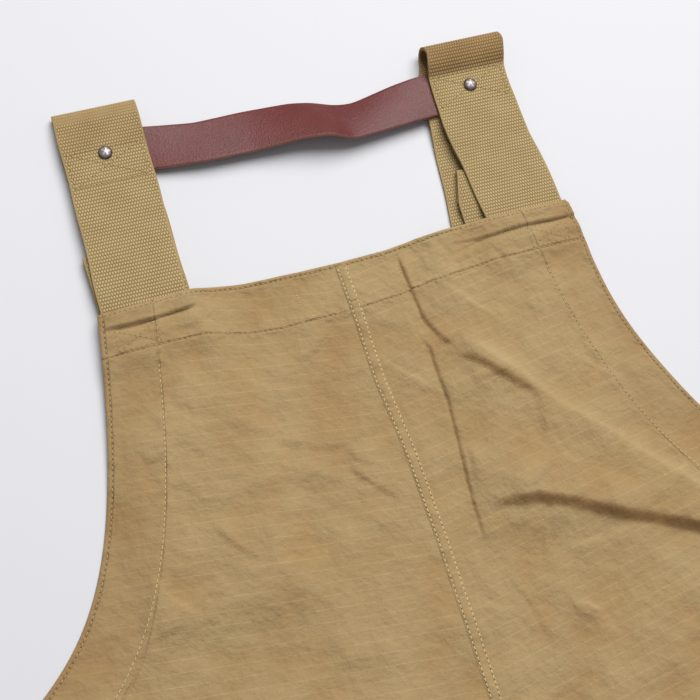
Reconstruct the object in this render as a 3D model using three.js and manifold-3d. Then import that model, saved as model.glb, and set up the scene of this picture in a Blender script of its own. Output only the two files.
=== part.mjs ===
// Butcher apron laid flat on its back, front up. Millimetres, +Z up.
// While it is built, X is across, Y = 0 is the bib's top edge with +Y towards the straps, and Z = 0 is
// the table. The last lines move the origin to the middle of the apron's footprint, on the table.
import * as THREE from 'three';
import { mergeVertices } from 'three/addons/utils/BufferGeometryUtils.js';
import Module from 'manifold-3d';

const wasm = await Module();
wasm.setup();

// ---- driving dimensions ----
const bibWidth = 288; // across the top edge
const waistWidth = 690; // across the skirt
const waistDrop = 285; // top edge down to the waist corners
const apronLength = 860; // top edge down to the bottom hem
const upperHandle = { x: 34, y: 228 }; // armhole curve's pull at the bib corner
const lowerHandle = { x: 119, y: 115 }; // and at the waist corner
const clothThickness = 0.5; // ripstop canvas
const webbingThickness = 1.8;
const strapWidth = 50;
const strapInset = 1.5; // bib corner to the strap's outer edge
const strapRoot = 25; // strap end sewn inside the top band
const leftFoldY = 126; // centre of the left strap's pressed fold, above the bib
const rightLoopY = 114.6; // centre of the right strap's open loop
const strapTurnY = -170; // where the hanging strap is turned back up behind the bib
const topFacingDepth = 28;
const armholeFacingWidth = 30;
const sideHemWidth = 20;
const bottomHemDepth = 30;
const seamWidth = 7; // flat-felled centre seam
const seamThickness = 0.6;
const labelSize = { x: 66, y: 36, z: 0.4 };
const labelDrop = 2; // top edge to the label
const leatherWidth = 28;
const leatherThickness = 1.8;
const leatherEndInset = 7; // leather's cut end inside the strap's outer edge
const leftLeatherY = 97; // middle of the leather on the left strap, above the bib
const rightLeatherY = 88.5; // and on the right strap, which lies lower
const tieWebWidth = 25;
const tieWebThickness = 1.5;
const tieLoopSewn = 22; // length of the loop's ends inside the waist corner
const tieLoopOut = 30; // how far the loop stands out past the side edge
const tieLoopRadius = 5; // of its round end, at mid thickness
const tieLoopDrop = 12; // waist corner down to the loop
const rivet = { cap: 4.2, dome: 2.4, wall: 0.7, stem: 1.5, flange: 4, flangeThickness: 0.9 };
const holeClearance = 0.4; // radial, around a rivet stem
const gap = 0.3; // between pieces that touch
const foldRadius = 1.05; // a pressed fold in webbing, at mid thickness
const loopRadius = 5.1; // the right strap's open loop, at mid thickness

// ---- values worked out from them ----
const layer = webbingThickness + gap;
const halfWeb = webbingThickness / 2;
const bibHalf = bibWidth / 2;
const waistHalf = waistWidth / 2;
const pileHeight = 2 * layer; // hanging strap and its turned-up end, behind the bib
const facingTop = clothThickness + gap;
const tieStack = 2 * tieWebThickness + 2 * gap;
const reach = 60; // extra room around the blank for the cutting shapes

const khaki = new THREE.MeshStandardMaterial({ color: 0xa08a5c, roughness: 0.95, metalness: 0 });
const webbing = new THREE.MeshStandardMaterial({ color: 0xa8925e, roughness: 0.9, metalness: 0 });
const burgundy = new THREE.MeshStandardMaterial({ color: 0x6e2f2c, roughness: 0.5, metalness: 0 });
const silver = new THREE.MeshStandardMaterial({ color: 0xa9a6a0, roughness: 0.4, metalness: 1 });
const labelWhite = new THREE.MeshStandardMaterial({ color: 0xcbbf9c, roughness: 0.8, metalness: 0 });

// ---- solids ----
function toSolid(geometry) {
  const bare = new THREE.BufferGeometry();
  bare.setAttribute('position', geometry.getAttribute('position'));
  if (geometry.index) bare.setIndex(geometry.index);
  const merged = mergeVertices(bare, 1e-4);
  const mesh = new wasm.Mesh({
    numProp: 3,
    vertProperties: new Float32Array(merged.getAttribute('position').array),
    triVerts: new Uint32Array(merged.index.array),
  });
  return new wasm.Manifold(mesh);
}

function toGeometry(solid) {
  const mesh = solid.getMesh();
  const geometry = new THREE.BufferGeometry();
  geometry.setAttribute('position', new THREE.BufferAttribute(mesh.vertProperties, 3));
  geometry.setIndex(new THREE.BufferAttribute(mesh.triVerts, 1));
  return geometry;
}

const blockSolid = (x0, x1, y0, y1, z0 = -reach, z1 = reach) => {
  const block = new THREE.BoxGeometry(x1 - x0, y1 - y0, z1 - z0);
  return toSolid(block.translate((x0 + x1) / 2, (y0 + y1) / 2, (z0 + z1) / 2));
};

// A tall prism on a flat outline, to cut a sheet to its shape.
function cutter(outline) {
  const shape = new THREE.Shape(outline);
  const prism = new THREE.ExtrudeGeometry(shape, { depth: 2 * reach, bevelEnabled: false });
  return toSolid(prism.translate(0, 0, -reach));
}

// ---- the shoulder straps' routes, as stations at mid thickness, from the sewn root to the tail ----
// x, y and z of a station, or the turns of a fold about an axis along X.
function fold(x0, x1, y, z, radius, from, to, steps) {
  const stations = [];
  for (let i = 0; i <= steps; i += 1) {
    const t = i / steps;
    const angle = THREE.MathUtils.degToRad(from + (to - from) * t);
    const x = THREE.MathUtils.lerp(x0, x1, t);
    stations.push([x, y + radius * Math.cos(angle), z + radius * Math.sin(angle)]);
  }
  return stations;
}

const rootZ = pileHeight + facingTop + halfWeb;
const frontZ = halfWeb + 2 * layer; // over the tail
const overHemZ = frontZ + layer;
const tailZ = halfWeb + layer;
const leatherZ = webbingThickness + gap + leatherThickness / 2; // on the hanging layer
const overLeatherZ = leatherZ + leatherThickness / 2 + gap + halfWeb;
const rootX = bibHalf - strapInset - strapWidth / 2;
const halfLeather = leatherWidth / 2;

// The front layer leaves the top band and climbs over the hemmed end of the tail.
const overTheHem = (x, lean) => [
  [x, -strapRoot, rootZ],
  [x, 0, rootZ],
  [x + 0.2 * lean, 4, rootZ + 0.3],
  [x + 0.4 * lean, 10, rootZ + 1],
  [x + 0.6 * lean, 15, overHemZ],
  [x + 1.4 * lean, 38, overHemZ],
];

// The tail lies on the hanging layer, and its end is turned under into a flat tunnel.
function tail(xTurn, xBib, xEnd) {
  return [
    ...fold(xTurn, xTurn, strapTurnY, halfWeb + layer / 2, foldRadius, -90, -270, 8),
    [THREE.MathUtils.lerp(xTurn, xBib, 0.5), strapTurnY / 2, tailZ],
    [xBib, 0, tailZ],
    [xBib, 4, tailZ + 0.2],
    [xBib, 10, tailZ + 1.4],
    [xBib, 15, frontZ],
    ...fold(xEnd, xEnd, 36, tailZ + layer / 2, foldRadius, 90, -90, 8),
    [xBib, 17, tailZ],
  ];
}

const leftLift = gap + rivet.flangeThickness; // room for the rivet's flange under the strap
const leftLeatherLow = leftLeatherY - halfLeather;
const leftLeatherHigh = leftLeatherY + halfLeather;
const leftStations = [
  ...overTheHem(-rootX, 0.9),
  [-rootX + 1.8, 50, overHemZ - 0.7],
  [-rootX + 2.2, leftLeatherLow - 16, overLeatherZ + leftLift],
  [-rootX + 2.9, leftLeatherHigh, overLeatherZ + leftLift],
  ...fold(-rootX + 3.2, -rootX + 3.2, leftFoldY, halfWeb + layer, layer, 90, -90, 10),
  [-rootX + 3, leftLeatherHigh, halfWeb + leftLift],
  [-rootX + 2.7, leftLeatherLow - 6, halfWeb + leftLift],
  [-rootX + 2.7, leftLeatherLow - 23, halfWeb],
  [-rootX + 2.7, 0, halfWeb],
  ...tail(-rootX + 3.5, -rootX - 0.5, -rootX - 1.5),
];

const rightLift = 3; // the open loop holds the riveted layers off the table
const rightLeatherLow = rightLeatherY - halfLeather;
const rightLeatherHigh = rightLeatherY + halfLeather;
const rightStations = [
  ...overTheHem(rootX, -2.2),
  [rootX - 4.6, 50, overHemZ],
  [rootX - 5.8, rightLeatherLow - 9, overLeatherZ + rightLift],
  [rootX - 5.8, rightLeatherY - 4, overLeatherZ + rightLift],
  [rootX - 4.8, rightLeatherY + 9, overLeatherZ + rightLift + 0.2],
  [rootX - 4, rightLeatherHigh, overLeatherZ + rightLift + 1.6],
  ...fold(rootX - 2, rootX - 4.6, rightLoopY, halfWeb + loopRadius, loopRadius, 100, -110, 16),
  [rootX - 7.6, rightLeatherHigh + 2, halfWeb + rightLift - 0.9],
  [rootX - 9, rightLeatherY + 9, halfWeb + rightLift],
  [rootX - 12, rightLeatherLow + 2, halfWeb + rightLift],
  [rootX - 14.8, rightLeatherLow - 26, halfWeb],
  [rootX - 20.7, 0, halfWeb],
  ...tail(rootX - 40.6, rootX - 12.6, rootX - 7.1),
];

// ---- the bed that the cloth lies on: heights shared by every sheet, so that the layers stay parallel ----
// 0 outside a and d, 1 between b and c, straight in between.
function plateau(v, [a, b, c, d]) {
  const up = a === b ? Number(v >= b) : THREE.MathUtils.clamp((v - a) / (b - a), 0, 1);
  const down = c === d ? Number(v <= c) : THREE.MathUtils.clamp((d - v) / (d - c), 0, 1);
  return Math.min(up, down);
}

// The span of X that a strap covers behind the bib, with a margin.
function spanOf(stations, isIn) {
  const xs = stations.filter(isIn).map((s) => s[0]);
  const margin = strapWidth / 2 + 1.5;
  return [Math.min(...xs) - margin, Math.max(...xs) + margin];
}

const far = apronLength + reach;
const bumps = { under: [], over: [] }; // under the facings, and between the facings and the front
for (const stations of [leftStations, rightStations]) {
  const side = Math.sign(stations[0][0]);
  const [low, high] = spanOf(stations, (s) => s[1] <= 0);
  const slopeIn = 30;
  const slopeOut = 26;
  bumps.under.push({
    x: [low - (side > 0 ? slopeIn : slopeOut), low, high, high + (side > 0 ? slopeOut : slopeIn)],
    y: [strapTurnY - 30, strapTurnY - 3, far, far],
    height: pileHeight,
  });
  const [rootLow, rootHigh] = spanOf(stations, (s) => s[1] <= 0 && s[2] >= rootZ);
  bumps.over.push({
    x: [rootLow - 14, rootLow, rootHigh, rootHigh + 14],
    y: [-strapRoot - 14, -strapRoot - 1.5, far, far],
    height: layer,
  });
  const loopEdge = side * (waistHalf - tieLoopSewn - 1.5);
  const loopX = side > 0 ? [loopEdge - 20, loopEdge, far, far] : [-far, -far, loopEdge, loopEdge + 20];
  const loopTop = -waistDrop - tieLoopDrop;
  bumps.over.push({
    x: loopX,
    y: [loopTop - tieWebWidth - 14, loopTop - tieWebWidth - 1.5, loopTop + 1.5, loopTop + 10],
    height: tieStack,
  });
}
bumps.under.push({
  x: [-labelSize.x / 2 - 14, -labelSize.x / 2 - 1.5, labelSize.x / 2 + 1.5, labelSize.x / 2 + 14],
  y: [-labelDrop - labelSize.y - 14, -labelDrop - labelSize.y - 1.5, far, far],
  height: labelSize.z + gap,
});

const heightOf = (list, x, y) =>
  list.reduce((top, b) => Math.max(top, b.height * plateau(x, b.x) * plateau(y, b.y)), 0);

// Grid lines fall on every change of slope, so that straight facets follow the bed exactly.
function gridLines(key, edges) {
  const all = [...bumps.under, ...bumps.over].flatMap((b) => b[key]);
  const inside = [...all, ...edges].filter((v) => v > edges[0] && v < edges[1]);
  const lines = [...edges, ...inside].sort((p, q) => p - q);
  return lines.filter((v, i) => i === 0 || v - lines[i - 1] > 0.01);
}
const xLines = gridLines('x', [-waistHalf - 20, waistHalf + 20]);
const yLines = gridLines('y', [-apronLength - 20, 20]);

// A slab of cloth that follows the bed: rise is the extra height under it.
function slab(rise, thickness, withOver) {
  const columns = xLines.length;
  const rows = yLines.length;
  const positions = [];
  for (const top of [0, thickness]) {
    for (const y of yLines) {
      for (const x of xLines) {
        const over = withOver ? heightOf(bumps.over, x, y) : 0;
        positions.push(x, y, heightOf(bumps.under, x, y) + over + rise + top);
      }
    }
  }
  const at = (i, j, k) => k * columns * rows + j * columns + i;
  const faces = [];
  const quad = (a, b, c, d) => faces.push(a, b, c, a, c, d);
  for (let j = 0; j < rows - 1; j += 1) {
    for (let i = 0; i < columns - 1; i += 1) {
      quad(at(i, j, 1), at(i + 1, j, 1), at(i + 1, j + 1, 1), at(i, j + 1, 1));
      faces.push(at(i, j, 0), at(i + 1, j + 1, 0), at(i + 1, j, 0));
      faces.push(at(i, j, 0), at(i, j + 1, 0), at(i + 1, j + 1, 0));
    }
  }
  for (let i = 0; i < columns - 1; i += 1) {
    quad(at(i, 0, 0), at(i + 1, 0, 0), at(i + 1, 0, 1), at(i, 0, 1));
    quad(at(i + 1, rows - 1, 0), at(i, rows - 1, 0), at(i, rows - 1, 1), at(i + 1, rows - 1, 1));
  }
  for (let j = 0; j < rows - 1; j += 1) {
    quad(at(0, j + 1, 0), at(0, j, 0), at(0, j, 1), at(0, j + 1, 1));
    quad(at(columns - 1, j, 0), at(columns - 1, j + 1, 0), at(columns - 1, j + 1, 1), at(columns - 1, j, 1));
  }
  const geometry = new THREE.BufferGeometry();
  geometry.setAttribute('position', new THREE.Float32BufferAttribute(positions, 3));
  geometry.setIndex(faces);
  return toSolid(geometry);
}

// ---- outlines of the cut pieces ----
const armhole = new THREE.CubicBezierCurve(
  new THREE.Vector2(bibHalf, 0),
  new THREE.Vector2(bibHalf + upperHandle.x, -upperHandle.y),
  new THREE.Vector2(waistHalf - lowerHandle.x, -waistDrop + lowerHandle.y),
  new THREE.Vector2(waistHalf, -waistDrop),
);
const armholeSteps = 24;
const mirrored = (outline) => outline.map((p) => new THREE.Vector2(-p.x, p.y)).reverse();
const sided = (outline, side) => (side > 0 ? outline : mirrored(outline));

// Half of the front, from the centre seam to the armhole and side edges.
const halfFront = [
  new THREE.Vector2(gap / 2, -apronLength),
  new THREE.Vector2(waistHalf, -apronLength),
  ...armhole.getSpacedPoints(armholeSteps).reverse(),
  new THREE.Vector2(gap / 2, 0),
];

// A band that follows the armhole edge, from outside it to a distance inside it and past its lower end.
function armholeBand(inside, past) {
  const outside = reach / 4;
  const edges = { outer: [], inner: [] };
  for (let i = 0; i <= armholeSteps; i += 1) {
    const u = i / armholeSteps;
    const point = armhole.getPointAt(u);
    const along = armhole.getTangentAt(u);
    const outward = new THREE.Vector2(-along.y, along.x);
    if (i === 0) point.addScaledVector(along, -outside);
    if (i === armholeSteps) point.addScaledVector(along, past);
    edges.outer.push(point.clone().addScaledVector(outward, outside));
    edges.inner.push(point.clone().addScaledVector(outward, -inside));
  }
  return [...edges.inner, ...edges.outer.reverse()];
}

const frontCutter = { left: cutter(mirrored(halfFront)), right: cutter(halfFront) };
const wholeFront = frontCutter.left.add(frontCutter.right).add(blockSolid(-1, 1, -apronLength, 0));
const facingSlab = slab(0, clothThickness, false);
const frontSlab = slab(facingTop, clothThickness, true);
const seamSlab = slab(facingTop + clothThickness + gap, seamThickness, true);

// ---- ribbons: straps and leather ----
// A closed flat band from two edge lines of equal length, with its thickness across them.
function ribbon(edgeA, edgeB, thickness) {
  const positions = [];
  const faces = [];
  const count = edgeA.length;
  for (let i = 0; i < count; i += 1) {
    const before = Math.max(0, i - 1);
    const after = Math.min(count - 1, i + 1);
    const along = edgeA[after].clone().add(edgeB[after]).sub(edgeA[before]).sub(edgeB[before]);
    const across = edgeB[i].clone().sub(edgeA[i]);
    const out = across.cross(along).normalize().multiplyScalar(thickness / 2);
    for (const corner of [
      edgeA[i].clone().sub(out),
      edgeB[i].clone().sub(out),
      edgeB[i].clone().add(out),
      edgeA[i].clone().add(out),
    ]) positions.push(corner.x, corner.y, corner.z);
  }
  for (let i = 0; i < count - 1; i += 1) {
    for (let k = 0; k < 4; k += 1) {
      const a = 4 * i + k;
      const b = 4 * i + ((k + 1) % 4);
      faces.push(a, b + 4, b, a, a + 4, b + 4);
    }
  }
  const end = 4 * (count - 1);
  faces.push(0, 1, 2, 0, 2, 3, end, end + 2, end + 1, end, end + 3, end + 2);
  const geometry = new THREE.BufferGeometry();
  geometry.setAttribute('position', new THREE.Float32BufferAttribute(positions, 3));
  geometry.setIndex(faces);
  return toSolid(geometry);
}

const vectorOf = (s) => new THREE.Vector3(s[0], s[1], s[2]);

function strapSolid(stations) {
  const half = new THREE.Vector3(strapWidth / 2, 0, 0);
  const middle = stations.map(vectorOf);
  const low = middle.map((p) => p.clone().sub(half));
  const high = middle.map((p) => p.clone().add(half));
  return ribbon(low, high, webbingThickness);
}

// ---- the leather between the straps: it bows, and lifts along its lower edge ----
const leatherSteps = 40;
const leftMiddle = -rootX + 2.7; // the left strap's middle at the leather
const rightMiddle = rootX - 5.8;
const sewn = { left: leatherZ + leftLift, right: leatherZ + rightLift };

// One edge of the leather: its free stretch is given as [share of the gap between the straps, Y, Z].
function leatherEdge(offset, free) {
  const half = strapWidth / 2;
  const innerLeft = leftMiddle + half;
  const innerRight = rightMiddle - half;
  const leftY = leftLeatherY + offset;
  const rightY = rightLeatherY + offset;
  return new THREE.CatmullRomCurve3([
    new THREE.Vector3(leftMiddle - half + leatherEndInset, leftY, sewn.left),
    new THREE.Vector3(leftMiddle + half / 2, leftY - 0.5, sewn.left),
    new THREE.Vector3(innerLeft - 2, leftY - 1, sewn.left),
    ...free.map(([t, y, z]) => new THREE.Vector3(THREE.MathUtils.lerp(innerLeft, innerRight, t), y, z)),
    new THREE.Vector3(innerRight + 2, rightY, sewn.right),
    new THREE.Vector3(rightMiddle - half / 2, rightY, sewn.right),
    new THREE.Vector3(rightMiddle + half - leatherEndInset, rightY, sewn.right),
  ]);
}

const upperEdge = leatherEdge(halfLeather, [
  [0.03, leftLeatherHigh - 2.4, sewn.left],
  [0.17, leftLeatherHigh - 6, sewn.left - 0.8],
  [0.34, leftLeatherHigh - 5.2, sewn.left - 0.2],
  [0.51, leftLeatherHigh - 7.6, 2.7],
  [0.64, rightLeatherHigh - 5.1, 3],
  [0.72, rightLeatherHigh - 6.9, 3],
  [0.875, rightLeatherHigh - 1.9, sewn.right - 1],
  [0.96, rightLeatherHigh - 0.3, sewn.right],
]);
const lowerEdge = leatherEdge(-halfLeather, [
  [0.03, leftLeatherLow - 2, sewn.left + 1.5],
  [0.17, leftLeatherLow - 3.6, sewn.left + 9.8],
  [0.34, leftLeatherLow - 4.2, sewn.left + 6.3],
  [0.51, leftLeatherLow - 4, 16.5],
  [0.64, rightLeatherLow - 2.7, 14],
  [0.72, rightLeatherLow - 3.3, 16.5],
  [0.875, rightLeatherLow - 0.9, sewn.right + 6],
  [0.96, rightLeatherLow - 0.1, sewn.right + 1.2],
]);

// ---- rivets: a domed cap on top and a stem on a flange below ----
const turn = (profile) => new THREE.LatheGeometry(profile.map(([r, z]) => new THREE.Vector2(r, z)), 16);

function rivetCap() {
  const { cap, dome, wall, stem } = rivet;
  const bore = stem + gap;
  const dish = [];
  for (let i = 0; i <= 5; i += 1) {
    const angle = (i / 5) * (Math.PI / 2);
    dish.push([cap * Math.cos(angle), 0.4 + (dome - 0.4) * Math.sin(angle)]);
  }
  const profile = [[0, dome - wall], [bore, dome - wall], [bore, 0], [cap, 0], ...dish];
  return turn(profile).rotateX(Math.PI / 2);
}

// The stem ends inside the cap's bore.
function rivetPost(height) {
  const { stem, flange, flangeThickness } = rivet;
  const profile = [[0, 0], [flange - 0.3, 0], [flange, 0.3], [flange, flangeThickness]];
  profile.push([stem, flangeThickness], [stem, height], [0, height]);
  return turn(profile).rotateX(Math.PI / 2);
}

const rivets = [
  { side: 'left', x: leftMiddle, y: leftLeatherY, strapLift: leftLift },
  { side: 'right', x: rightMiddle, y: rightLeatherY, strapLift: rightLift },
];
for (const r of rivets) {
  r.flangeZ = r.strapLift - gap - rivet.flangeThickness;
  r.capZ = overLeatherZ + halfWeb + r.strapLift + gap;
  r.height = r.capZ - r.flangeZ + rivet.dome - rivet.wall - gap;
  const hole = new THREE.CylinderGeometry(rivet.stem + holeClearance, rivet.stem + holeClearance, 60, 16);
  r.hole = toSolid(hole.rotateX(Math.PI / 2).translate(r.x, r.y, 0));
}

// ---- webbing loop that takes a waist tie, sewn inside the waist corner ----
function tieLoop() {
  const lower = facingTop + tieWebThickness / 2;
  const upper = lower + tieWebThickness + gap;
  const end = waistHalf + tieLoopOut - tieLoopRadius - tieWebThickness / 2;
  const route = [
    [waistHalf - tieLoopSewn, lower],
    [waistHalf + 2, lower],
    [waistHalf + 8, tieWebThickness / 2],
    [end - 3, tieWebThickness / 2],
  ];
  for (let i = 0; i <= 10; i += 1) {
    const angle = THREE.MathUtils.degToRad(-90 + 18 * i);
    const centre = tieWebThickness / 2 + tieLoopRadius;
    route.push([end + tieLoopRadius * Math.cos(angle), centre + tieLoopRadius * Math.sin(angle)]);
  }
  route.push([end - 4, tieWebThickness / 2 + 2 * tieLoopRadius - 0.4]);
  route.push([waistHalf + 4, upper + 0.8], [waistHalf + 1, upper], [waistHalf - tieLoopSewn, upper]);
  const top = -waistDrop - tieLoopDrop;
  const edge = (y) => route.map(([x, z]) => new THREE.Vector3(x, y, z));
  return ribbon(edge(top), edge(top - tieWebWidth), tieWebThickness);
}

// ---- the assembly ----
const apron = new THREE.Group();

function place(name, shape, material, x = 0, y = 0, z = 0) {
  const mesh = new THREE.Mesh(shape.isBufferGeometry ? shape : toGeometry(shape), material);
  mesh.name = name;
  mesh.position.set(x, y, z);
  apron.add(mesh);
}

// Facings and hems lie under the front, each cut back from the one before it.
const topFacing = wholeFront.intersect(blockSolid(-far, far, -topFacingDepth, reach));
const topClear = blockSolid(-far, far, -topFacingDepth - gap, reach);
const hemClear = blockSolid(-far, far, -far, -apronLength + bottomHemDepth + gap);
const bottomHem = wholeFront.intersect(blockSolid(-far, far, -far, -apronLength + bottomHemDepth));
place('top_facing', topFacing.intersect(facingSlab), khaki);
place('bottom_hem', bottomHem.intersect(facingSlab), khaki);

for (const [side, sign] of [['left', -1], ['right', 1]]) {
  place(`${side}_panel`, frontCutter[side].intersect(frontSlab), khaki);
  const band = cutter(sided(armholeBand(armholeFacingWidth, 0), sign));
  const bandClear = cutter(sided(armholeBand(armholeFacingWidth + gap, gap), sign));
  const armholeFacing = wholeFront.intersect(band).subtract(topClear);
  place(`${side}_armhole_facing`, armholeFacing.intersect(facingSlab), khaki);
  const edge = [sign * (waistHalf - sideHemWidth), sign * (waistHalf + reach)].sort((p, q) => p - q);
  const strip = wholeFront.intersect(blockSolid(edge[0], edge[1], -far, -waistDrop - 2));
  const sideHem = strip.subtract(bandClear).subtract(hemClear);
  place(`${side}_side_hem`, sideHem.intersect(facingSlab), khaki);
  const loop = sign > 0 ? tieLoop() : tieLoop().mirror([1, 0, 0]);
  place(`${side}_tie_loop`, loop, webbing);
}

const seamStrip = blockSolid(-seamWidth / 2, seamWidth / 2, -apronLength, 0);
place('centre_seam', seamStrip.intersect(seamSlab), khaki);
const labelBlock = new THREE.BoxGeometry(labelSize.x, labelSize.y, labelSize.z);
place('woven_label', labelBlock, labelWhite, 0, -labelDrop - labelSize.y / 2, labelSize.z / 2);

const leftHole = rivets[0].hole;
const rightHole = rivets[1].hole;
place('left_shoulder_strap', strapSolid(leftStations).subtract(leftHole), webbing);
place('right_shoulder_strap', strapSolid(rightStations).subtract(rightHole), webbing);
const leatherEdges = [lowerEdge, upperEdge].map((edge) => edge.getPoints(leatherSteps));
const leather = ribbon(leatherEdges[0], leatherEdges[1], leatherThickness);
place('neck_leather', leather.subtract(leftHole).subtract(rightHole), burgundy);
for (const r of rivets) {
  place(`${r.side}_rivet_cap`, rivetCap(), silver, r.x, r.y, r.capZ);
  place(`${r.side}_rivet_post`, rivetPost(r.height), silver, r.x, r.y, r.flangeZ);
}

const box = new THREE.Box3().setFromObject(apron, true);
const centre = box.getCenter(new THREE.Vector3());
apron.position.set(-centre.x, -centre.y, -box.min.z);
const model = new THREE.Group();
model.add(apron);

export default model;
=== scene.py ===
from functools import partial
import math
import bpy
import bmesh
import numpy as np
from mathutils import Matrix, Vector


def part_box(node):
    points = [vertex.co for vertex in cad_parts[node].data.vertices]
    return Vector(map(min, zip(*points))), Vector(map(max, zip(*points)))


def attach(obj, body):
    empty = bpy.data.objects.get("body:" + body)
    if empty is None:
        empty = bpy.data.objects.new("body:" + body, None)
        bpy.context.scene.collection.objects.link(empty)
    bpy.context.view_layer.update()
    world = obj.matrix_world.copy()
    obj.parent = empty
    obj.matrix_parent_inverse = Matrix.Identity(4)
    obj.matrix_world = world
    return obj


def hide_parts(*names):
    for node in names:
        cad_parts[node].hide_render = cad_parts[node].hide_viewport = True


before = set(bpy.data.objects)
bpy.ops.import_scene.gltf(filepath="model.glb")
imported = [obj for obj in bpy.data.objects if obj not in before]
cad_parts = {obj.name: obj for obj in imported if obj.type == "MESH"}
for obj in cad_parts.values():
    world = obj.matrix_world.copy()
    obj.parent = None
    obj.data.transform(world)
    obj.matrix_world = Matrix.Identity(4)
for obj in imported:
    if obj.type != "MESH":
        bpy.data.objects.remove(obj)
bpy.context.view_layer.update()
mm = 0.001

# Places are in millimetres from the middle of the bib's top edge; +Y runs towards the straps.
seamLow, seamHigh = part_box("centre_seam")
topY = seamHigh.y
clothLength = (seamHigh.y - seamLow.y) / mm
panelPoints = [v.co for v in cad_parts["right_panel"].data.vertices]
waistHalf = max(p.x for p in panelPoints) / mm
waistDrop = (topY - max(p.y for p in panelPoints if p.x / mm > waistHalf - 0.1)) / mm
bibHalf = max(p.x for p in panelPoints if p.y > topY - 0.1 * mm) / mm
print("frame read: bib", round(2 * bibHalf), "waist", round(2 * waistHalf), "length", round(clothLength))


def toFrame(x, y, z):  # apron millimetres to frame metres
    x, y, z = np.broadcast_arrays(x, y, z)
    return np.stack([x * mm, y * mm + topY, z * mm], axis=-1)


def smoothStep(low, high, value):
    t = np.clip((value - low) / (high - low), 0, 1)
    return t * t * (3 - 2 * t)


def between(value, rise, fall):  # 0 below and above the two steps, 1 between them
    return smoothStep(*rise, value) * (1 - smoothStep(*fall, value))


def bell(value, width):
    return np.exp(-((value / width) ** 2))


def runLengths(points):
    return np.concatenate([[0], np.cumsum(np.linalg.norm(np.diff(points, axis=0), axis=1))])


def alongPath(places, lengths, points):
    return np.stack([np.interp(places, lengths, points[:, k]) for k in range(3)], axis=-1)


def addObject(name, data):
    made = bpy.data.objects.new(name, data)
    bpy.context.collection.objects.link(made)
    return made


# Camera: high over the bib's left edge, facing the right strap, rolled so that the straps lean left.
cameraSettings = {
    "target": (-10.7, -53.5, 0.0),
    "distance": 814.0,
    "azimuth": 48.9,  # degrees from +X towards +Y, the way it looks
    "elevation": 69.9,  # degrees down
    "roll": 24.7,
    "lens": 72.7,
}


def addCamera(settings):
    azimuth, elevation, roll = (math.radians(settings[k]) for k in ("azimuth", "elevation", "roll"))
    level = math.cos(elevation)
    forward = Vector((level * math.cos(azimuth), level * math.sin(azimuth), -math.sin(elevation)))
    sideways = Vector((math.sin(azimuth), -math.cos(azimuth), 0))
    right = sideways * math.cos(roll) + sideways.cross(forward) * math.sin(roll)
    data = bpy.data.cameras.new("camera")
    data.lens = settings["lens"]
    data.sensor_width = 36
    data.clip_start = 0.01
    camera = addObject("camera", data)
    place = Matrix((right, right.cross(forward), -forward)).transposed().to_4x4()
    place.translation = Vector(toFrame(*settings["target"])) - forward * settings["distance"] * mm
    camera.matrix_world = place
    bpy.context.scene.camera = camera


addCamera(cameraSettings)

# Light: one large soft lamp high beyond the straps, and an even white room.
studio = {
    "keyAzimuth": 54,
    "keyElevation": 58,
    "keyDistance": 3.4,
    "keySize": 3.05,
    "keyPower": 161,
    "room": 0.30,
    "roomTint": (1.0, 0.99, 0.98, 1),
    "floor": "#cdcdd1",
}


def addLamp(settings):
    azimuth, elevation = (math.radians(settings[k]) for k in ("keyAzimuth", "keyElevation"))
    level = math.cos(elevation)
    towards = Vector((level * math.cos(azimuth), level * math.sin(azimuth), math.sin(elevation)))
    data = bpy.data.lights.new("keyLamp", "AREA")
    data.shape = "DISK"
    data.size = settings["keySize"]
    data.energy = settings["keyPower"]
    lamp = addObject("keyLamp", data)
    lamp.location = Vector((0, topY, 0)) + towards * settings["keyDistance"]
    lamp.rotation_euler = (-towards).to_track_quat("-Z", "Y").to_euler()


addLamp(studio)
room = bpy.data.worlds.new("whiteRoom")
room.use_nodes = True
background = room.node_tree.nodes["Background"]
background.inputs["Color"].default_value = studio["roomTint"]
background.inputs["Strength"].default_value = studio["room"]
bpy.context.scene.world = room
bpy.context.scene.view_settings.view_transform = "Standard"
print("camera and light set")


# Materials
def toLinear(hexColour):
    channels = [int(hexColour[i:i + 2], 16) / 255 for i in (1, 3, 5)]
    return tuple(c / 12.92 if c <= 0.04045 else ((c + 0.055) / 1.055) ** 2.4 for c in channels) + (1,)


def addNode(tree, kind, inputs, output=0, **settings):  # gives back the new node's output socket
    node = tree.nodes.new("ShaderNode" + kind)
    for name, value in settings.items():
        setattr(node, name, value)
    for key, value in (inputs if isinstance(inputs, dict) else dict(enumerate(inputs))).items():
        if isinstance(value, bpy.types.NodeSocket):
            tree.links.new(value, node.inputs[key])
        else:
            node.inputs[key].default_value = value
    return node.outputs[output]


def newMaterial(name, **shader):
    material = bpy.data.materials.new(name)
    material.use_nodes = True
    surface = material.node_tree.nodes["Principled BSDF"]
    for key, value in shader.items():
        surface.inputs[key.replace("_", " ")].default_value = value
    return material, partial(addNode, material.node_tree), surface


def connect(surface, **sockets):
    for key, value in sockets.items():
        surface.id_data.links.new(value, surface.inputs[key.replace("_", " ")])


def thinLines(add, coordinate, pitch, width):  # 1 on a thin line at every pitch, 0 between them
    count = add("Math", [coordinate, pitch], operation="DIVIDE")
    phase = add("Math", [count], operation="FRACT")
    centred = add("Math", [phase, 0.5], operation="SUBTRACT")
    away = add("Math", [centred], operation="ABSOLUTE")
    return add("MapRange", [away, 0.0, width / pitch, 1.0, 0.0], interpolation_type="SMOOTHSTEP")


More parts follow.
